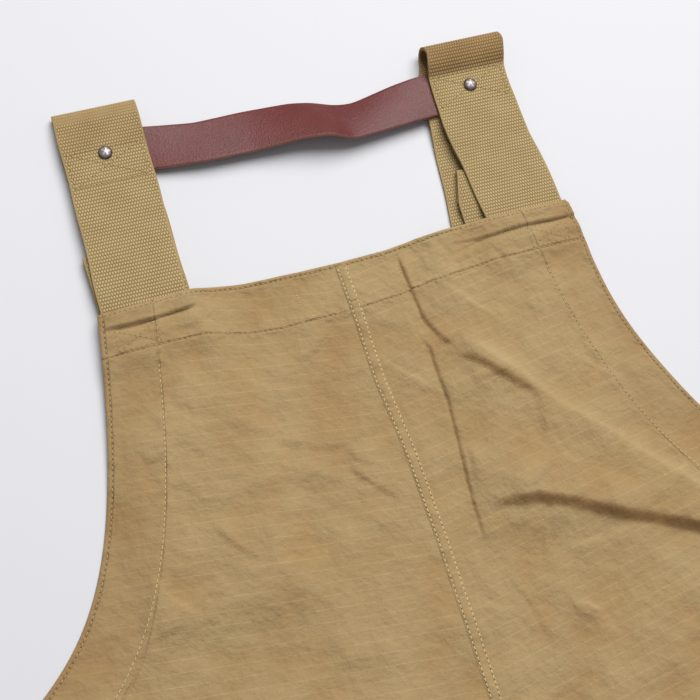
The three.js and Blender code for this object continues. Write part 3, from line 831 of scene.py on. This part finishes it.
topFacing = addBand("topFacing", "top_facing", np.linspace(-1, 1, 150),
                    np.linspace(-facing["top"], -facing["clear"], 14), acrossTop, 0)
hemGrid = np.linspace(facing["clear"], facing["bottomHem"], 10) - clothLength
bottomHem = addBand("bottomHem", "bottom_hem", np.linspace(-1, 1, 140), hemGrid, acrossHem, 0)
bands = [topFacing, bottomHem]
for side, word in ((-1, "left"), (1, "right")):
    armholeRows = np.linspace(-waistDrop + 8, -facing["top"] - 9.5, 130)
    bands.append(addBand(word + "ArmholeFacing", word + "_armhole_facing",
                         np.sort(side * np.linspace(facing["clear"], facing["armhole"], 14)), armholeRows,
                         lambda u, v: edgePlace(side, np.abs(u), v), side))
    sideRows = np.linspace(-clothLength + facing["bottomHem"] + 0.4, -waistDrop - 52, 80)
    bands.append(addBand(word + "SideHem", word + "_side_hem",
                         np.sort(side * np.linspace(facing["clear"], facing["sideHem"], 10)), sideRows,
                         lambda u, v: edgePlace(side, np.abs(u), v), side))
print("facings laid")


# Straps and tie loops: webbing laid along stations of (x, y, z), z the middle of its thickness.
def foldArc(fromX, toX, y, z, radius, start, end, count=12):
    share = np.linspace(0, 1, count)
    angle = np.radians(start + (end - start) * share)
    return [(fromX + (toX - fromX) * s, y + radius * math.cos(a), z + radius * math.sin(a))
            for s, a in zip(share, angle)]


def evenPath(stations, step=0.9):
    points = np.array(stations, float)
    lengths = runLengths(points)
    places = np.linspace(0, lengths[-1], int(lengths[-1] / step) + 1)
    path = alongPath(places, lengths, points)
    for _ in range(3):  # rounds the corners between stations
        path[1:-1] = (path[:-2] + 2 * path[1:-1] + path[2:]) / 4
    return path


def topArc(y, z, radius, x0, x1):  # over the top of a fold: from its upper run to its lower one
    return foldArc(x0, x1, y, z, radius, 90, -90)


layerUp = strap["layer"]
firstLayer, secondLayer = 0.9, 0.9 + layerUp
hemFoldY = 36.0
leftStations = (
    [(-117.5, -25, 5.9), (-117.5, 0, 5.9), (-117.3, 4, 6.2), (-117.1, 10, 6.9), (-117, 15, 7.2),
     (-116.2, 38, 7.2), (-115.7, 50, 6.5), (-115.3, 67, 6.3), (-114.6, 111, 6.3), (-114.4, 119, 6.0)]
    + topArc(strap["leftFoldY"], 3.0, 2.1, -114.3, -114.3)
    + [(-114.4, 117, 1.2), (-114.8, 77, 2.1), (-114.8, 60, firstLayer), (-114.8, 0, firstLayer)]
    + foldArc(-114, -114, strap["turnY"], 1.95, 1.05, -90, -270)
    + [(-116, -85, secondLayer), (-118, 0, secondLayer), (-118, 4, 3.2), (-118, 10, 4.4), (-118, 15, 5.1)]
    + foldArc(-119, -119, hemFoldY, 4.05, 1.05, 90, -90) + [(-118, 17, secondLayer)])
rightStations = (
    [(117.5, -25, 5.9), (117.5, 0, 5.9), (117.1, 4, 6.2), (116.6, 10, 6.9), (116.2, 15, 7.2),
     (114.4, 38, 7.2), (112.9, 50, 7.2), (111.7, 65.5, 8.1), (111.7, 84.5, 8.1), (112.4, 94, 8.15),
     (112.9, 98.6, 8.2), (113.3, 101, 10.2), (113.8, 104, 12.1), (114.4, 107.5, 13.4)]
    + foldArc(115.5, 112.9, strap["rightLoopY"] - 1.8, 7.4, 6.5, 95, -90, 24)
    + [(109.9, 104.5, 2.6), (108.5, 97.5, 3.8), (105.5, 76.5, 3.9), (102.7, 48.5, firstLayer),
       (96.8, 0, firstLayer)]
    + foldArc(76.9, 76.9, strap["turnY"], 1.95, 1.05, -90, -270)
    + [(90.9, -85, secondLayer), (104.9, 0, secondLayer), (104.9, 4, 3.2), (104.9, 10, 4.4), (104.9, 15, 5.1)]
    + foldArc(110.4, 110.4, hemFoldY, 4.05, 1.05, 90, -90) + [(104.9, 17, secondLayer)])


def layRibbon(stations, width, carry):
    path = evenPath(stations)
    lengths = runLengths(path)

    def placeAt(u, v):  # u across from the middle, v along, both in millimetres
        x, y, z = (np.interp(v, lengths, path[:, k]) for k in range(3))
        edge = 0.25 * np.sin(v / 7.3 + np.sign(u)) * np.abs(u) / (width / 2)
        return carry(x + u + edge, y, z)
    return placeAt, lengths[-1]


def underBand(x, y, z):  # a strap's sewn end is carried by the bib's bed
    lifted = bedHeight(x, np.minimum(y, 0)) + 1.7
    share = (1 - smoothStep(0, 16, y)) * (z > 5) * (y < 20)
    return np.stack([x, y, z + (lifted - 5.9) * share], axis=-1)


def addRibbon(name, node, placeAt, length, width, thickness, material):
    across = np.concatenate([[-width / 2], np.linspace(-width / 2 + 1.2, width / 2 - 1.2, 15), [width / 2]])
    along = np.arange(0, length + 0.45, length / round(length / 0.95))

    def shape(u, v):
        points = placeAt(u, v)
        return toFrame(points[:, 0], points[:, 1], points[:, 2])

    piece = gridPiece(name, across, along, shape, material, {"cloth": plainMap})
    thicken(piece, thickness, 0.45)
    joinFrame(piece, "webbing", node)
    return piece


ribbons = {}
for word, stations in (("left", leftStations), ("right", rightStations)):
    placeAt, length = layRibbon(stations, strap["width"], underBand)
    piece = addRibbon(word + "Strap", word + "_shoulder_strap", placeAt, length, strap["width"],
                      strap["thickness"], strapWebbing)
    ribbons[word + "Strap"] = (piece, placeAt, length)
    print(word, "strap laid, flat length", round(length), "mm")

tieLoop = {
    "width": 25.0,
    "thickness": 1.5,
    "sewn": 22.0,
    "out": 30.0,
    "radius": 5.0,
    "drop": 12.0,
    "gap": 0.3,
}


def tieStations(side):
    half, thick = tieLoop["thickness"] / 2, tieLoop["thickness"]
    facingTop = 0.8
    lower = facingTop + half
    upper = lower + thick + tieLoop["gap"]
    radius, sewn = tieLoop["radius"], tieLoop["sewn"]
    end = waistHalf + tieLoop["out"] - radius - half
    flat = [(waistHalf - sewn, lower), (waistHalf + 2, lower), (waistHalf + 8, half), (end - 3, half)]
    for angle in np.radians(np.arange(-90, 91, 12)):
        flat.append((end + radius * math.cos(angle), half + radius + radius * math.sin(angle)))
    flat += [(end - 4, half + 2 * radius - 0.4), (waistHalf + 4, upper + 0.8), (waistHalf + 1, upper),
             (waistHalf - sewn, upper)]
    y = -waistDrop - tieLoop["drop"] - tieLoop["width"] / 2
    return [(side * x, y, z) for x, z in flat]


def addTieLoop(name, node, side):
    path = evenPath(tieStations(side), 0.7)
    lengths = runLengths(path)

    def placeAt(u, v):
        x, y, z = (np.interp(v, lengths, path[:, k]) for k in range(3))
        inside = smoothStep(8, -2, np.abs(x) - waistHalf)
        bed = bedHeight(np.clip(x, -waistHalf, waistHalf), y + u)
        return np.stack([x, y + u, z + bed * inside], axis=-1)

    piece = addRibbon(name, node, placeAt, lengths[-1], tieLoop["width"], tieLoop["thickness"], tieWebbing)
    ribbons[name] = (piece, placeAt, lengths[-1])


addTieLoop("leftTieLoop", "left_tie_loop", -1)
addTieLoop("rightTieLoop", "right_tie_loop", 1)

# Leather back strap: [share of the gap, Y, Z] along each edge; it rolls over between the straps.
leatherBand = {
    "width": 28.0,
    "thickness": 1.8,
    "flatLength": 272.0,
    "ends": (-132.8, 129.7),
    "inner": (-89.8, 86.7),
    "sewn": (4.2, 6.0),
    "middle": (97.0, 88.5),
    "upper": [(0.03, 108.6, 4.2), (0.17, 105.2, 3.4), (0.34, 105.6, 3), (0.51, 104.6, 2.4),
              (0.58, 102.6, 1.8), (0.66, 97.2, 2), (0.72, 95.6, 2.6), (0.875, 100.6, 4.6), (0.96, 102.2, 6)],
    "lower": [(0.03, 80.5, 5.2), (0.17, 77.8, 7.6), (0.34, 77, 8.2), (0.51, 76.2, 13), (0.60, 73.6, 15.5),
              (0.68, 69.8, 10.5), (0.80, 71.4, 9), (0.93, 73.4, 7.4)],
}


def leatherEdge(offset, free):
    b = leatherBand
    (start, end), (innerLeft, innerRight), (zLeft, zRight) = b["ends"], b["inner"], b["sewn"]
    yLeft, yRight = b["middle"][0] + offset, b["middle"][1] + offset
    points = [(start, yLeft, zLeft), (-102.3, yLeft - 0.5, zLeft), (innerLeft - 2, yLeft - 1, zLeft)]
    points += [(innerLeft + (innerRight - innerLeft) * t, y, z) for t, y, z in free]
    points += [(innerRight + 2, yRight, zRight), (99.2, yRight, zRight), (end, yRight, zRight)]
    path = evenPath(points, 1.0)
    for _ in range(18):
        path[1:-1] = (path[:-2] + 2 * path[1:-1] + path[2:]) / 4
    share = np.linspace(0, 1, len(path))
    return lambda v: alongPath(v, share, path)


def addLeather():
    b = leatherBand
    upper, lower = leatherEdge(b["width"] / 2, b["upper"]), leatherEdge(-b["width"] / 2, b["lower"])

    def shape(u, v):
        share = (u / b["width"] + 0.5)[:, None]
        points = lower(v) * (1 - share) + upper(v) * share
        bow = np.sin(np.pi * share[:, 0]) * 0.8 * smoothStep(0.3, 0.5, v) * (1 - smoothStep(0.76, 0.88, v))
        return toFrame(points[:, 0], points[:, 1], points[:, 2] + bow)

    half = b["width"] / 2
    piece = gridPiece("leatherStrap", np.linspace(-half, half, 17), np.linspace(0, 1, 240), shape, leather,
                      {"cloth": lambda u, v: np.stack([u * mm, v * b["flatLength"] * mm], axis=-1)})
    thicken(piece, b["thickness"], 0.3, rawEdge)
    joinFrame(piece, "leather", "neck_leather")
    return piece


leatherStrap = addLeather()
print("leather laid")

# Rivets: a hammered cap with shallow petals, over the plain post of the frame.
rivetShape = {"radius": 4.2, "rim": 0.5, "dome": 2.4, "petals": 5, "cut": 0.8}


def addRivet(name, node):
    low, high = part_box(node)
    centre = (low + high) / 2
    r = rivetShape
    bm = bmesh.new()
    bmesh.ops.create_uvsphere(bm, u_segments=48, v_segments=26, radius=1.0)
    for vert in bm.verts:
        x, y, z = vert.co
        reach = math.hypot(x, y)
        angle = math.atan2(y, x)
        petal = (0.5 + 0.5 * math.cos(r["petals"] * angle)) * reach * (1 - reach ** 6)
        ring = math.exp(-((reach - 0.86) / 0.06) ** 2) * 0.35
        height = 0.4 * (1 + z)
        if z > 0:
            height = r["rim"] + (r["dome"] - r["rim"]) * z - r["cut"] * (1 - petal) * reach - ring
        vert.co = (centre.x + x * r["radius"] * mm, centre.y + y * r["radius"] * mm, low.z + height * mm)
    for face in bm.faces:
        face.smooth = True
        middle = face.calc_center_median() - centre
        face.material_index = 1 if math.hypot(middle.x, middle.y) > 0.83 * r["radius"] * mm else 0
    mesh = bpy.data.meshes.new(name)
    bmesh.ops.recalc_face_normals(bm, faces=bm.faces)
    bm.to_mesh(mesh)
    bm.free()
    mesh.materials.append(silver)
    mesh.materials.append(darkSilver)
    piece = addObject(name, mesh)
    joinFrame(piece, "rivet_metal", node)
    return piece


for word in ("left", "right"):
    addRivet(word + "RivetCap", word + "_rivet_cap")
    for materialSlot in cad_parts[word + "_rivet_post"].material_slots:
        materialSlot.material = darkSilver

# Centre seam: a felled strip over the join, raised in the middle and pinched by its two rows of stitches.
seamStrip = {"width": 7.0, "height": 0.78, "row": 2.45, "pinch": 0.55, "thickness": 0.3, "flatWidth": 10.0}
clearOfRows = 0.2  # metres: a strip with no stitch rows of the panel's own


def seamHeight(x, y):
    share = np.abs(x) / (seamStrip["width"] / 2)
    drawnIn = 0.7 + 0.3 * np.cos(2 * math.pi * y / 3)  # most at each stitch
    pinch = seamStrip["pinch"] * bell(np.abs(x) - seamStrip["row"], 0.75) * drawnIn
    body = seamStrip["height"] * (1 - share ** 6) - pinch
    wrinkle = 0.16 * np.sin(y / 2.3 + 1.4 * np.sin(y / 9.1) + x * 0.35)
    return frontZ(x, y) + clothHalf + 0.1 + body + wrinkle * (1 - share ** 4)


def addSeam():
    across = np.linspace(-seamStrip["width"] / 2, seamStrip["width"] / 2, 17)
    along = np.arange(-clothLength + 0.6, -0.4, 1.0)
    piece = gridPiece("centreSeam", across, along, lambda u, v: settle(u, v, seamHeight(u, v)), canvas,
                      {"cloth": lambda u, v: clothFlat(u, v, 0),
                       "sewn": lambda u, v: np.stack([np.full_like(u, clearOfRows), -v * mm], axis=-1)})
    thicken(piece, seamStrip["thickness"])
    joinFrame(piece, "canvas", "centre_seam")
    return piece


centreSeam = addSeam()


# Woven label, blank, sewn to the underside of the top facing.
label = {"half": 33.0, "low": -38.0, "high": -2.6, "thickness": 0.35, "flat": (66.0, 35.5)}


def addLabel():
    piece = gridPiece("backLabel", np.linspace(-label["half"], label["half"], 40),
                      np.linspace(label["low"], label["high"], 24),
                      lambda u, v: settle(u, v, bedHeight(u, v) - label["thickness"]), labelTape,
                      {"cloth": plainMap})
    thicken(piece, label["thickness"])
    joinFrame(piece, "label_tape", "woven_label")
    return piece


backLabel = addLabel()
print("seam and label laid")


# Stitches: each one a small capsule of thread between two needle holes,
# with a dark disc of painted shadow at each hole.
def onFront(a, b):
    z = frontZ(a, b) + clothHalf
    seam = np.abs(a) < seamStrip["width"] / 2
    z = np.where(seam, seamHeight(a, b) + 0.15, z)
    return settle(a, b, z)


def onRibbon(name):
    placeAt = ribbons[name][1]
    thickness = strap["thickness"] if "Strap" in name else tieLoop["thickness"]

    def lay(a, b):
        here, ahead, aside = placeAt(a, b), placeAt(a, b + 0.6), placeAt(a + 0.6, b)
        normal = np.cross(aside - here, ahead - here)
        normal = normal / np.linalg.norm(normal, axis=1)[:, None]
        lift = here + normal * np.sign(normal[:, 2:3] + 1e-9) * thickness / 2
        return toFrame(lift[:, 0], lift[:, 1], lift[:, 2])
    return lay


batchLength = 30
holeSides = 7


def addStitch(bm, start, end, normal, size, hole, sink):
    along = (end - start).normalized()
    aside = normal.cross(along).normalized()
    normal = along.cross(aside)
    if normal.z < 0:
        aside, normal = -aside, -normal
    turn = Matrix((aside, along, normal)).transposed().to_4x4()
    half = (end - start).length / 2
    scale = Matrix.Diagonal((size * mm, max(half - hole * 0.55 * mm, half * 0.5), size * 0.72 * mm, 1))
    middle = Matrix.Translation((start + end) / 2 + normal * (0.12 - sink) * mm)
    bmesh.ops.create_uvsphere(bm, u_segments=6, v_segments=5, radius=1.0, matrix=middle @ turn @ scale)
    # a dark disc of painted shadow at the needle hole
    if hole:
        spot = Matrix.Translation(start + normal * 0.06 * mm) @ turn
        bmesh.ops.create_circle(bm, cap_ends=True, segments=holeSides, radius=hole * mm, matrix=spot)


def sewLines(name, lines, lay, thread, slot, pitch=3.0, size=0.36, hole=0.38, sink=0.06):
    whole = bmesh.new()
    batch = bpy.data.meshes.new("batch")
    for line in lines:
        line = np.array(line, float)
        fine = [line[:1]]
        for start, end in zip(line[:-1], line[1:]):
            steps = max(1, int(np.hypot(*(end - start)) / 0.8))
            fine.append(start + (end - start) * np.linspace(0, 1, steps + 1)[1:, None])
        fine = np.concatenate(fine)
        points = lay(fine[:, 0], fine[:, 1])
        lengths = runLengths(points) / mm
        number = max(1, round(lengths[-1] / pitch))
        marks = np.linspace(0, lengths[-1], number + 1)
        beside = lay(fine[:, 0] + 0.5, fine[:, 1] + 0.3) - points
        below = lay(fine[:, 0] + 0.3, fine[:, 1] - 0.5) - points
        up = np.cross(below, beside)
        up = up * np.sign(up[:, 2:3])
        holes, ups = (alongPath(marks, lengths, p) for p in (points, up))
        for first in range(0, number, batchLength):  # each new sphere costs more in a long batch
            bm = bmesh.new()
            for k in range(first, min(first + batchLength, number)):
                addStitch(bm, Vector(holes[k]), Vector(holes[k + 1]), Vector(ups[k]), size, hole, sink)
            bm.to_mesh(batch)
            bm.free()
            whole.from_mesh(batch)
    for face in whole.faces:
        face.smooth = True
        face.material_index = 1 if len(face.verts) == holeSides else 0
    mesh = bpy.data.meshes.new(name)
    whole.to_mesh(mesh)
    whole.free()
    bpy.data.meshes.remove(batch)
    mesh.materials.append(thread)
    mesh.materials.append(holeShadowDisc)
    piece = addObject(name, mesh)
    joinFrame(piece, slot)
    return piece


def outerLine(side, inward, fromY, toY):
    ys = np.concatenate([np.arange(fromY, toY, -1.5), [toY]])
    xs, placed = edgePlace(side, inward, ys)
    return np.stack([xs, placed], axis=-1)


def rowAcross(y, fromX, toX, sag=0.0):
    xs = np.linspace(fromX, toX, 60)
    return np.stack([xs, y - sag * bandDrop(xs)], axis=-1)


waistY = -waistDrop
for side, word in ((-1, "left"), (1, "right")):
    edgeRows = [outerLine(side, seams["edge"], -1.5, -clothLength + 3)]
    facingRows = [outerLine(side, seams["facing"], -30, waistY - 30),
                  [edgePlace(side, seams["sideHem"], np.array(waistY - 30.0)),
                   edgePlace(side, seams["sideHem"], np.array(-clothLength + 29.0))]]
    sewLines(word + "EdgeStitches", edgeRows, onFront, tanThread, "canvas")
    sewLines(word + "FacingStitches", facingRows, onFront, paleThread, "canvas", hole=0.15, size=0.3,
                 sink=0.02)
edgeRows = [rowAcross(-seams["topEdge"], -bibHalf + 3, -4), rowAcross(-seams["topEdge"], 4, bibHalf - 3)]
bandRows = [rowAcross(-seams["topBand"], -bibHalf - 2, -4, 1),
            rowAcross(-seams["topBand"], 4, bibHalf + 2, 1)]
topThreads = [
    sewLines("topEdgeStitches", edgeRows, onFront, tanThread, "canvas"),
    sewLines("topBandStitches", bandRows, onFront, tanThread, "canvas", hole=0.24, size=0.26)]
hemRows = [rowAcross(-clothLength + seams["bottomHem"], -waistHalf + 1, waistHalf - 1),
           rowAcross(-clothLength + seams["edge"], -waistHalf + 3, waistHalf - 3)]
hemThread = sewLines("hemStitches", hemRows, onFront, tanThread, "canvas")
seamRows = [np.stack([np.full(200, s * seamStrip["row"]), np.linspace(-3, -clothLength + 3, 200)], axis=-1)
            for s in (-1, 1)]
seamThread = sewLines("seamStitches", seamRows, onFront, paleThread, "canvas", size=0.5, hole=0.42)
print("front sewn")


def boxLines(left, right, low, high):
    return [[(left, low), (right, low), (right, high), (left, high), (left, low)],
            [(left, low), (right, high)], [(left, high), (right, low)]]


# The crossed boxes that hold each strap: their reach in from the bib's side, and across the strap's fold.
rootBox = {"outer": 6.0, "inner": 30.0, "low": -24.0, "high": -12.0}
foldBox = {"half": 22.0, "left": (78.5, 100.5), "right": (77.5, 98.2)}

outer, inner = bibHalf - rootBox["outer"], bibHalf - rootBox["inner"]
rootRows = (boxLines(-outer, -inner, rootBox["low"], rootBox["high"])
            + boxLines(inner, outer, rootBox["low"], rootBox["high"]))
rootThread = sewLines("strapRootStitches", rootRows, onFront, tanThread, "canvas", hole=0.26, size=0.24,
                      sink=0.08)
barTacks = [[(-31, -13), (-31, -20.5)], [(33, -9), (33, -19)]]
labelThread = sewLines("labelStitches", barTacks, onFront, paleThread, "label_tape", pitch=1.4, hole=0.2,
                       size=0.4)


def alongAt(name, y):  # how far along a strap its upper run passes a given Y
    v = np.linspace(0, 160, 1600)
    ys = ribbons[name][1](np.zeros_like(v), v)[:, 1]
    return float(v[np.argmax(ys > y)])


for word in ("left", "right"):
    name = word + "Strap"
    low, high = (alongAt(name, y) for y in foldBox[word])
    rows = boxLines(-foldBox["half"], foldBox["half"], low, high)
    sewLines(name + "Stitches", rows, onRibbon(name), tanThread, "webbing", hole=0.3,
                                  sink=0.1)
print("straps sewn")

# Half the bib's area, in square millimetres; the loops below change nothing.
armRows = np.linspace(-waistDrop, 0, 300)
bibArea = float(np.mean(halfWidth(armRows))) * waistDrop
for band in bands[2:]:
    "Facing" in band.name
for word in ("left", "right"):
    piece, placeAt, length = ribbons[word + "Strap"]
    piece, placeAt, length = ribbons[word + "TieLoop"]
